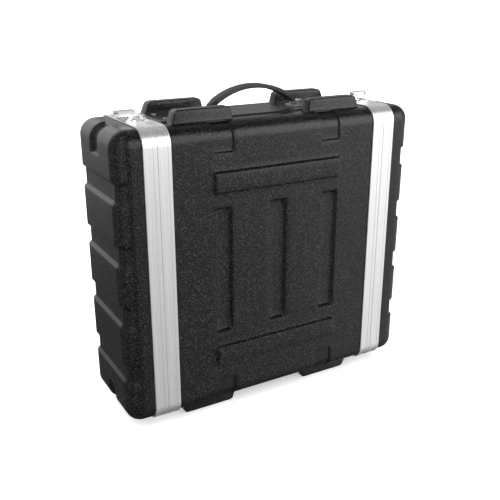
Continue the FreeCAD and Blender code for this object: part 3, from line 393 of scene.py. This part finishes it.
def cover_side_relief(q, kind, place):
    """Height over a cover's sides and rounded end edge; q runs from the open edge to the end face."""
    bend = np.clip((q - COVER_FLAT_RUN) / COVER_RADIUS, 0.0, math.pi / 2)
    turned = (bend / (math.pi / 2)) ** COVER_BAND_DEEPENING
    deep = COVER_BAND_SIDE_DEPTH + (COVER_BAND_DEPTH - COVER_BAND_SIDE_DEPTH) * turned
    height = np.zeros(np.broadcast(q, place).shape)
    for dz in COVER_BAND_DZ:
        band = smooth_min(COVER_BAND_HALF - np.abs(place - dz), q - COVER_BAND_START)
        height = np.where(kind == "Y", height - ramp(band, deep), height)
    slot = smooth_min(COVER_SLOT_HALF - np.abs(place), q - (COVER_SLOT_START_X - COVER_START_X))
    height = np.where(kind == "Z", height - ramp(slot, COVER_SLOT_DEPTH), height)
    return height


def cover_end_relief(y, z):
    """Height over a cover's end face."""
    height = np.zeros(np.broadcast(y, z).shape)
    for dz in COVER_BAND_DZ:
        height -= ramp(COVER_BAND_HALF - np.abs(z - dz), COVER_BAND_DEPTH)
    slot = smooth_min(COVER_SLOT_HALF - np.abs(y), np.abs(z) - SLOT_END_DZ)
    height -= ramp(slot, COVER_SLOT_DEPTH)
    return height


def cover_skin(build, sx):
    """Moulded cover: sides and rounded end edge, end face, inner skin and open rim."""
    z_wanted, y_wanted = [], []
    for side in (-1, 1):
        y_wanted += wall_lines(side * COVER_SLOT_HALF, -side, COVER_SLOT_DEPTH)
        z_wanted += wall_lines(side * SLOT_END_DZ, side, COVER_SLOT_DEPTH)
        for dz in COVER_BAND_DZ:
            z_wanted += wall_lines(dz + side * COVER_BAND_HALF, -side, COVER_BAND_DEPTH)
            z_wanted += [dz + side * (COVER_BAND_HALF - d) for d in COVER_BAND_LINES]
    z = grid_lines(-CORNER_Z, CORNER_Z, z_wanted, SHELL_STEP)
    y = grid_lines(-CORNER_Y, CORNER_Y, y_wanted, SHELL_STEP)
    flat = COVER_FLAT_RUN
    arc = COVER_RADIUS * math.pi / 2
    q_wanted = wall_lines(COVER_SLOT_START_X - COVER_START_X, 1, COVER_SLOT_DEPTH)
    q_wanted += wall_lines(COVER_BAND_START, 1, COVER_BAND_SIDE_DEPTH)
    q = np.concatenate([grid_lines(0.0, flat, q_wanted, COVER_SIDE_STEP),
                        grid_lines(flat, flat + arc, q_wanted, COVER_BEND_STEP)[1:]])
    centre, normal, kind, place = outline(z, y, COVER_CORNER_STEPS)
    bend = np.clip((q - flat) / COVER_RADIUS, 0.0, math.pi / 2)
    along = COVER_START_X + np.minimum(q, flat)
    height = cover_side_relief(q[:, None], kind[None, :], place[None, :])
    end_height = cover_end_relief(y[None, :], z[:, None])
    rims = []
    for depth, flip in ((0.0, False), (WALL, True)):
        reach = COVER_RADIUS + height - depth
        grid = np.empty(reach.shape + (3,))
        grid[..., 0] = sx * (along[:, None] + reach * np.sin(bend)[:, None])
        grid[..., 1] = centre[None, :, 0] + normal[None, :, 0] * reach * np.cos(bend)[:, None]
        grid[..., 2] = CENTRE_Z + centre[None, :, 1] + normal[None, :, 1] * reach * np.cos(bend)[:, None]
        start_number = build.sheet(grid, flip=flip != (sx < 0), wrap=True)
        rims.append(list(range(start_number, start_number + len(place))))
        end = np.empty(end_height.shape + (3,))
        end[..., 0] = sx * (COVER_END_X + end_height - depth)
        end[..., 1] = y[None, :]
        end[..., 2] = CENTRE_Z + z[:, None]
        build.sheet(end, flip=flip != (sx < 0))
    build.bridge(rims[0], rims[1], flip=sx > 0)


# ---- metal bands ---------------------------------------------------------------------------
BAND_EDGE_RADIUS = 0.35
ROUND_SHARE = 0.4         # most of a side's length that one rounding takes
HOLD_SHARE = 0.15         # an extra point this far beside a rounding keeps the flat side flat


def soften(profile, radius):
    """Rounds the corners of a closed (x, depth) section."""
    points = [np.array(p, float) for p in profile]
    out = []
    for number, here in enumerate(points):
        before, after = points[number - 1], points[(number + 1) % len(points)]
        to_before, to_after = before - here, after - here
        room = min(radius, ROUND_SHARE * np.linalg.norm(to_before), ROUND_SHARE * np.linalg.norm(to_after))
        back, ahead = to_before / np.linalg.norm(to_before), to_after / np.linalg.norm(to_after)
        a, b = here + back * room, here + ahead * room
        out.append(a + back * HOLD_SHARE * room)
        for t in (0.0, 0.5, 1.0):
            out.append((1 - t) ** 2 * a + 2 * t * (1 - t) * here + t * t * b)
        out.append(b + ahead * HOLD_SHARE * room)
    return np.array(out)


def band_ring(name, profile, sx, material, body, replaced):
    """A section swept once round the case, with its length along the ring as U."""
    section = soften(profile, BAND_EDGE_RADIUS)
    z = grid_lines(-CORNER_Z, CORNER_Z, [], BAND_STEP)
    y = grid_lines(-CORNER_Y, CORNER_Y, [], BAND_STEP)
    centre, normal, _, _ = outline(z, y, BAND_CORNER_STEPS)
    surface = centre + normal * BAND_RADIUS
    steps = np.linalg.norm(surface - np.roll(surface, 1, axis=0), axis=1)
    steps[0] = 0.0
    run = np.cumsum(steps)
    reach = BAND_RADIUS - section[:, 1]
    grid = np.empty((len(section), len(run) + 1, 3))
    closed = np.r_[np.arange(len(run)), 0]
    grid[..., 0] = sx * section[:, 0][:, None]
    grid[..., 1] = centre[closed, 0][None, :] + normal[closed, 0][None, :] * reach[:, None]
    grid[..., 2] = CENTRE_Z + centre[closed, 1][None, :] + normal[closed, 1][None, :] * reach[:, None]
    lengths = np.r_[run, run[-1] + np.linalg.norm(surface[0] - surface[-1])]
    uv = np.empty(grid.shape[:2] + (2,))
    uv[..., 0] = lengths[None, :] * MM
    uv[..., 1] = (np.r_[0, np.cumsum(np.linalg.norm(np.diff(section, axis=0), axis=1))] * MM)[:, None]
    build = Builder()
    build.sheet(np.concatenate([grid, grid[:1]]), flip=sx < 0)
    points, faces = build.done()
    uv = np.concatenate([uv, uv[-1:] + [0.0, MM]])
    return make_piece(name, points, faces, material, body, replaced, uv.reshape(-1, 2))


# Sections of the rings as (x, depth below the outer face), round once.
BODY_PROFILE = [
    (210.4, 0.5), (210.9, 0.0), (216.4, 0.0), (216.75, 0.35), (227.15, 0.35), (227.5, 0.0), (234.5, 0.0),
    (235.0, 0.5), (235.0, 3.6), (229.4, 3.6), (229.4, 6.6), (235.0, 6.6), (235.0, 7.7), (212.4, 7.7),
    (212.4, 5.7), (228.0, 5.7), (228.0, 2.3), (210.4, 2.3)]
COVER_PROFILE = [
    (260.0, 0.5), (259.5, 0.0), (254.0, 0.0), (253.65, 0.35), (242.85, 0.35), (242.5, 0.0), (235.7, 0.0),
    (235.2, 0.5), (235.2, 4.1), (230.6, 4.1), (230.6, 6.1), (235.2, 6.1), (235.2, 8.2), (258.0, 8.2),
    (258.0, 6.2), (241.0, 6.2), (241.0, 2.8), (260.0, 2.8)]


# ---- handle grip ---------------------------------------------------------------------------
PIVOT_X = 94.5
PIVOT_Z = 568.1
RISE = 36.6
ARCH_RADIUS = (PIVOT_X ** 2 + RISE ** 2) / (2 * RISE)
ARCH_CENTRE_Z = PIVOT_Z + RISE - ARCH_RADIUS
GRIP_HALF_X = 92.0
GRIP_OUTLINE = ((0.0, 11.3), (78.0, 11.3), (84.0, 8.0), (92.0, 6.5))   # x and half width
GRIP_THICKNESS = (8.0, 9.5)                                            # middle and ends
GRIP_EDGE = 2.4
GRIP_EDGE_SHARE = 0.9     # most of the half thickness that its rounding takes
GRIP_END_X = 91.5
GRIP_SHOULDER_X = 76.0    # from here out the outline narrows, so that its sections stand closer
GRIP_ARCH_X = 74.0
NOSE_LIFT = 1.6


def grip_ring(x):
    """Rounded section across the arch at one station."""
    half = np.interp(abs(x), *zip(*GRIP_OUTLINE))
    thick = (GRIP_THICKNESS[0] + (GRIP_THICKNESS[1] - GRIP_THICKNESS[0]) * (x / GRIP_HALF_X) ** 2) / 2
    edge = min(GRIP_EDGE, GRIP_EDGE_SHARE * thick)
    loop = []
    for cy, cr, start in ((half - edge, thick - edge, 0), (edge - half, thick - edge, 90),
                          (edge - half, edge - thick, 180), (half - edge, edge - thick, 270)):
        for k in range(GRIP_CORNER_STEPS + 1):
            turn = math.radians(start + 90 * k / GRIP_CORNER_STEPS)
            loop.append((cy + edge * math.cos(turn), cr + edge * math.sin(turn)))
    loop = np.array(loop)
    lean = math.asin(x / ARCH_RADIUS)
    out = np.empty((len(loop), 3))
    out[:, 0] = np.clip((ARCH_RADIUS + loop[:, 1]) * math.sin(lean), -GRIP_HALF_X, GRIP_HALF_X)
    out[:, 1] = loop[:, 0]
    out[:, 2] = np.maximum(ARCH_CENTRE_Z + (ARCH_RADIUS + loop[:, 1]) * math.cos(lean), PIVOT_Z + NOSE_LIFT)
    return out


def grip(build):
    """The moulded grip: rounded sections along the arch, closed at both ends."""
    stations = np.concatenate([np.linspace(-GRIP_END_X, -GRIP_SHOULDER_X, 12),
                               np.linspace(-GRIP_ARCH_X, GRIP_ARCH_X, 75),
                               np.linspace(GRIP_SHOULDER_X, GRIP_END_X, 12)])
    rings = np.array([grip_ring(x) for x in stations])
    start = build.sheet(rings, flip=True, wrap=True)
    count = rings.shape[1]
    build.faces.append(tuple(range(start, start + count)))
    last = start + (len(rings) - 1) * count
    build.faces.append(tuple(range(last, last + count))[::-1])


# ---- materials -----------------------------------------------------------------------------
class Nodes:
    """Short way to write a material's node tree."""

    def __init__(self, name):
        self.material = bpy.data.materials.new(name)
        self.material.use_nodes = True
        self.tree = self.material.node_tree
        self.tree.nodes.clear()
        self.shader = self.new("ShaderNodeBsdfPrincipled")
        output = self.new("ShaderNodeOutputMaterial")
        self.link(self.shader.outputs[0], output.inputs[0])

    def new(self, kind, **values):
        node = self.tree.nodes.new(kind)
        for key, value in values.items():
            setattr(node, key, value)
        return node

    def link(self, a, b):
        self.tree.links.new(a, b)

    def set(self, node, **values):
        for key, value in values.items():
            node.inputs[key.replace("_", " ")].default_value = value
        return node

    def coordinates(self, scale=(1, 1, 1), uv=False):
        source = self.new("ShaderNodeTexCoord")
        mapping = self.new("ShaderNodeMapping")
        mapping.inputs["Scale"].default_value = scale
        self.link(source.outputs["UV" if uv else "Object"], mapping.inputs["Vector"])
        return mapping.outputs["Vector"]

    def noise(self, vector, scale, detail=3.0, rough=0.5):
        node = self.new("ShaderNodeTexNoise")
        self.set(node, Scale=scale, Detail=detail, Roughness=rough)
        self.link(vector, node.inputs["Vector"])
        return node.outputs["Fac"]

    def span(self, value, low, high, to_low, to_high):
        node = self.new("ShaderNodeMapRange")
        node.inputs["From Min"].default_value = low
        node.inputs["From Max"].default_value = high
        node.inputs["To Min"].default_value = to_low
        node.inputs["To Max"].default_value = to_high
        self.link(value, node.inputs["Value"])
        return node.outputs["Result"]

    def maths(self, operation, a, b):
        node = self.new("ShaderNodeMath", operation=operation)
        for number, value in enumerate((a, b)):
            if isinstance(value, (int, float)):
                node.inputs[number].default_value = value
            else:
                self.link(value, node.inputs[number])
        return node.outputs[0]

    def bump(self, height, strength, distance):
        node = self.new("ShaderNodeBump")
        node.inputs["Strength"].default_value = strength
        node.inputs["Distance"].default_value = distance
        self.link(height, node.inputs["Height"])
        return node.outputs["Normal"]

    def mix_colour(self, factor, first, second):
        node = self.new("ShaderNodeMix", data_type="RGBA")
        self.link(factor, node.inputs[0])
        first_socket, second_socket, result = node.inputs[6], node.inputs[7], node.outputs[2]
        first_socket.default_value = first + (1.0,)
        second_socket.default_value = second + (1.0,)
        return result


def moulded_black():
    """Black ABS with a fine pebble grain, whose paler flecks in the colour are a painted highlight: light
    glinting on the pebbles.
    """
    m = Nodes("moulded_black")
    where = m.coordinates()
    pebble = m.new("ShaderNodeTexVoronoi", feature="SMOOTH_F1")
    m.set(pebble, Scale=460.0, Smoothness=0.6)
    m.link(where, pebble.inputs["Vector"])
    wander = m.noise(where, 340.0, 3.0, 0.7)
    height = m.maths("ADD", m.maths("MULTIPLY", pebble.outputs["Distance"], -0.8), wander)
    normal = m.bump(height, 0.5, 0.0006)
    m.link(normal, m.shader.inputs["Normal"])
    patches = m.noise(where, 26.0, 3.0, 0.55)
    # painted highlight: paler flecks in the base colour stand in for light glinting on the tops of the
    # pebble grain
    glint_spots = m.span(m.noise(where, 400.0, 2.0, 0.6), 0.48, 0.66, 0.0, 1.0)
    painted_glint = m.maths("MULTIPLY", glint_spots, m.span(patches, 0.3, 0.7, 0.75, 1.0))
    colour = m.mix_colour(painted_glint, (0.0008, 0.0008, 0.0009), (0.023, 0.023, 0.0235))
    m.link(colour, m.shader.inputs["Base Color"])
    m.link(m.span(wander, 0.3, 0.7, 0.16, 0.27), m.shader.inputs["Roughness"])
    m.shader.inputs["Specular IOR Level"].default_value = 0.42
    return m.material


def extruded_aluminium():
    """Anodised extrusion with fine drawing lines along its length."""
    m = Nodes("extruded_aluminium")
    fine = m.noise(m.coordinates((3.0, 1500.0, 1.0), uv=True), 1.0, 4.0, 0.6)
    broad = m.noise(m.coordinates((14.0, 260.0, 1.0), uv=True), 1.0, 3.0, 0.5)
    m.link(m.mix_colour(broad, (0.80, 0.81, 0.82), (0.90, 0.90, 0.91)), m.shader.inputs["Base Color"])
    m.shader.inputs["Metallic"].default_value = 0.88
    m.link(m.span(fine, 0.3, 0.7, 0.24, 0.4), m.shader.inputs["Roughness"])
    m.link(m.bump(fine, 0.12, 0.0002), m.shader.inputs["Normal"])
    return m.material


def plain_metal(name, colour, low, high, scale=500.0, dark_patch_and_reflection_share=0.9):
    """Metal with fine marks and darker patches in its colour; the last argument is the patches' brightness.
    Near 1 they are random tone; low, as on the chrome, they are a painted reflection of dark surroundings.
    """
    m = Nodes(name)
    where = m.coordinates()
    marks = m.noise(where, scale, 4.0, 0.6)
    broad = m.span(m.noise(where, scale / 2.5, 2.0, 0.5), 0.4, 0.6, 0.0, 1.0)
    # darker patches painted into the colour: faint ones are random tone, strong ones a painted reflection
    dark_patch_and_reflection_colour = tuple(dark_patch_and_reflection_share * c for c in colour)
    m.link(m.mix_colour(broad, dark_patch_and_reflection_colour, colour), m.shader.inputs["Base Color"])
    m.shader.inputs["Metallic"].default_value = 1.0
    m.link(m.span(marks, 0.3, 0.7, low, high), m.shader.inputs["Roughness"])
    m.link(m.bump(marks, 0.04, 0.0002), m.shader.inputs["Normal"])
    return m.material


def soft_black(name, colour, low, high):
    """Matt rubber; low and high are its least and greatest roughness."""
    m = Nodes(name)
    where = m.coordinates()
    grain = m.noise(where, 900.0, 4.0, 0.6)
    broad = m.noise(where, 40.0, 2.0, 0.5)
    bright = tuple(1.5 * c for c in colour)
    m.link(m.mix_colour(broad, colour, bright), m.shader.inputs["Base Color"])
    m.link(m.span(grain, 0.3, 0.7, low, high), m.shader.inputs["Roughness"])
    m.link(m.bump(grain, 0.25, 0.0003), m.shader.inputs["Normal"])
    return m.material


BLACK = moulded_black()
ALUMINIUM = extruded_aluminium()
# painted reflection: the chrome's strong dark patches stand in for dark surroundings mirrored in it
CHROME = plain_metal("latch_chrome", (0.38, 0.38, 0.39), 0.05, 0.12, dark_patch_and_reflection_share=0.25)
RIVET = plain_metal("rivet_metal", (0.72, 0.72, 0.73), 0.22, 0.4)
STEEL = plain_metal("plated_steel", (0.62, 0.62, 0.63), 0.25, 0.42)
SCREW = plain_metal("screw_steel", (0.5, 0.5, 0.51), 0.2, 0.36)
RAIL = plain_metal("rail_steel", (0.55, 0.56, 0.58), 0.3, 0.5)
SPRING = plain_metal("spring_steel", (0.2, 0.2, 0.21), 0.3, 0.45)
GRIP = soft_black("grip_rubber", (0.02, 0.02, 0.021), 0.5, 0.68)
SEAL = soft_black("seal_rubber", (0.015, 0.015, 0.015), 0.6, 0.75)

BY_SLOT = {
    "latch_chrome": CHROME, "plated_steel": STEEL, "rivet_metal": RIVET, "screw_steel": SCREW,
    "rail_steel": RAIL, "spring_steel": SPRING, "grip_rubber": GRIP, "seal_rubber": SEAL,
    "shell_plastic": BLACK, "band_aluminium": ALUMINIUM}
for row in frame["record"]["materials"]:
    for name in row.get("nodes", []):
        data = nodes[name].data
        data.materials.clear()
        data.materials.append(BY_SLOT[row["slot"]])

# ---- pieces --------------------------------------------------------------------------------
build = Builder()
body_skin(build)
blocks(build)
points, faces = build.done()
make_piece("moulded_body", points, faces, BLACK, "case_body", ["body_shell"])
for side, sx in (("front", -1), ("rear", 1)):
    build = Builder()
    cover_skin(build, sx)
    points, faces = build.done()
    make_piece(side + "_moulded_cover", points, faces, BLACK, side + "_cover",
               [side + "_cover_shell"])
    band_ring(side + "_body_extrusion", BODY_PROFILE, sx, ALUMINIUM, "case_body",
              [side + "_body_frame"])
    band_ring(side + "_cover_extrusion", COVER_PROFILE[::-1], sx, ALUMINIUM, side + "_cover",
              [side + "_cover_frame"])

build = Builder()
grip(build)
points, faces = build.done()
make_piece("moulded_grip", points, faces, GRIP, "handle", ["handle_grip"])

# ---- stage ---------------------------------------------------------------------------------
FLOOR_HALF = 20           # metres
floor_corners = [(sx * FLOOR_HALF, sy * FLOOR_HALF, 0) for sx, sy in ((-1, -1), (1, -1), (1, 1), (-1, 1))]
floor_mesh = bpy.data.meshes.new("floor")
floor_mesh.from_pydata(floor_corners, [], [(0, 1, 2, 3)])
floor = bpy.data.objects.new("floor", floor_mesh)
bpy.context.scene.collection.objects.link(floor)
pale = Nodes("pale_floor")
pale.set(pale.shader, Base_Color=(0.9, 0.9, 0.9, 1.0), Roughness=0.9)
pale.shader.inputs["Specular IOR Level"].default_value = 0.0
pale.set(pale.shader, Emission_Color=(1.0, 1.0, 1.0, 1.0), Emission_Strength=0.45)
floor_mesh.materials.append(pale.material)
floor.visible_glossy = False


FAINT_LIGHT = 0.06        # from every direction, below all panels
SEEN_WHITE = 8.0          # the surroundings' own brightness in the picture


class Surroundings:
    """World whose brightness is a sum of soft-edged panels, given by direction in degrees."""

    def __init__(self):
        world = bpy.data.worlds.new("studio")
        bpy.context.scene.world = world
        world.use_nodes = True
        self.tree = world.node_tree
        self.tree.nodes.clear()
        where = self.tree.nodes.new("ShaderNodeTexCoord")
        parts = self.tree.nodes.new("ShaderNodeSeparateXYZ")
        self.tree.links.new(where.outputs["Generated"], parts.inputs[0])
        self.vector = where.outputs["Generated"]
        self.elevation = self.maths("MULTIPLY", self.maths("ARCSINE", parts.outputs["Z"]), 180 / math.pi)
        self.total = FAINT_LIGHT

    def maths(self, operation, first, second=0.0):
        node = self.tree.nodes.new("ShaderNodeMath")
        node.operation = operation
        for socket, value in zip(node.inputs, (first, second)):
            if isinstance(value, (int, float)):
                socket.default_value = value
            else:
                self.tree.links.new(value, socket)
        return node.outputs[0]

    def fade(self, value, gone, full):
        """0 at gone, 1 at full, smooth between."""
        node = self.tree.nodes.new("ShaderNodeMapRange")
        node.interpolation_type = "SMOOTHSTEP"
        low, high = min(gone, full), max(gone, full)
        node.inputs["From Min"].default_value = low
        node.inputs["From Max"].default_value = high
        node.inputs["To Min"].default_value = 0.0 if gone < full else 1.0
        node.inputs["To Max"].default_value = 1.0 if gone < full else 0.0
        self.tree.links.new(value, node.inputs["Value"])
        return node.outputs["Result"]

    def panel(self, azimuth, sideways, below, above, strength):
        """sideways: (full within, gone beyond); below, above: (gone, full) elevations."""
        turn = self.tree.nodes.new("ShaderNodeVectorRotate")
        turn.rotation_type = "Z_AXIS"
        turn.inputs["Angle"].default_value = -math.radians(azimuth)
        self.tree.links.new(self.vector, turn.inputs["Vector"])
        parts = self.tree.nodes.new("ShaderNodeSeparateXYZ")
        self.tree.links.new(turn.outputs[0], parts.inputs[0])
        angle = self.maths("ARCTAN2", parts.outputs["Y"], parts.outputs["X"])
        off = self.maths("MULTIPLY", self.maths("ABSOLUTE", angle), 180 / math.pi)
        light = self.maths("MULTIPLY", self.fade(off, sideways[1], sideways[0]), strength)
        light = self.maths("MULTIPLY", light, self.fade(self.elevation, *below))
        light = self.maths("MULTIPLY", light, self.fade(self.elevation, *above))
        self.total = self.maths("ADD", light, self.total)

    def done(self):
        """Seen directly the surroundings are plain white."""
        seen = self.tree.nodes.new("ShaderNodeLightPath")
        white = self.maths("MULTIPLY", seen.outputs["Is Camera Ray"], SEEN_WHITE)
        strength = self.maths("MAXIMUM", self.total, white)
        background = self.tree.nodes.new("ShaderNodeBackground")
        background.inputs["Color"].default_value = (1.0, 1.0, 1.0, 1.0)
        self.tree.links.new(strength, background.inputs["Strength"])
        output = self.tree.nodes.new("ShaderNodeOutputWorld")
        self.tree.links.new(background.outputs[0], output.inputs[0])


studio = Surroundings()
studio.panel(-56, (8, 34), (-16, 12), (47, 36), 1.95)           # roundings above the near big face
studio.panel(-36, (4, 58), (-72, 0), (47, 36), 1.08)            # the near big face itself
studio.panel(-132, (14, 44), (-40, 0), (95, 85), 0.8)           # the near cover's rounded corner
studio.panel(163, (8, 26), (-50, -10), (95, 85), 0.3)           # that corner's other half
studio.panel(103, (12, 36), (-26, 17), (60, 40), 1.2)           # the front cover's end face
studio.panel(108, (16, 36), (-60, -40), (-8, -22), 0.04)        # its lowest part
studio.panel(40, (25, 45), (10, 35), (85, 65), 0.22)            # the deck's near rounding
studio.panel(57, (18, 38), (-4, 14), (44, 26), 0.4)             # the deck
studio.panel(45, (22, 50), (-50, -38), (-2, -12), 0.8)          # the far big face, seen from behind
studio.done()
overhead = bpy.data.lights.new("overhead", "SUN")
overhead.energy = 4.0
overhead.angle = math.radians(110)
overhead_object = bpy.data.objects.new("overhead", overhead)
overhead_object.visible_glossy = False
bpy.context.scene.collection.objects.link(overhead_object)

camera_data = bpy.data.cameras.new("camera")
camera_data.lens = 50.56
camera_data.sensor_width = 36.0
camera = bpy.data.objects.new("camera", camera_data)
camera.location = (-0.6658, -1.1433, 0.7619)
camera.rotation_euler = (math.radians(70.03), 0.0, math.radians(-30.05))
bpy.context.scene.collection.objects.link(camera)
bpy.context.scene.camera = camera
bpy.context.scene.view_settings.view_transform = "Standard"
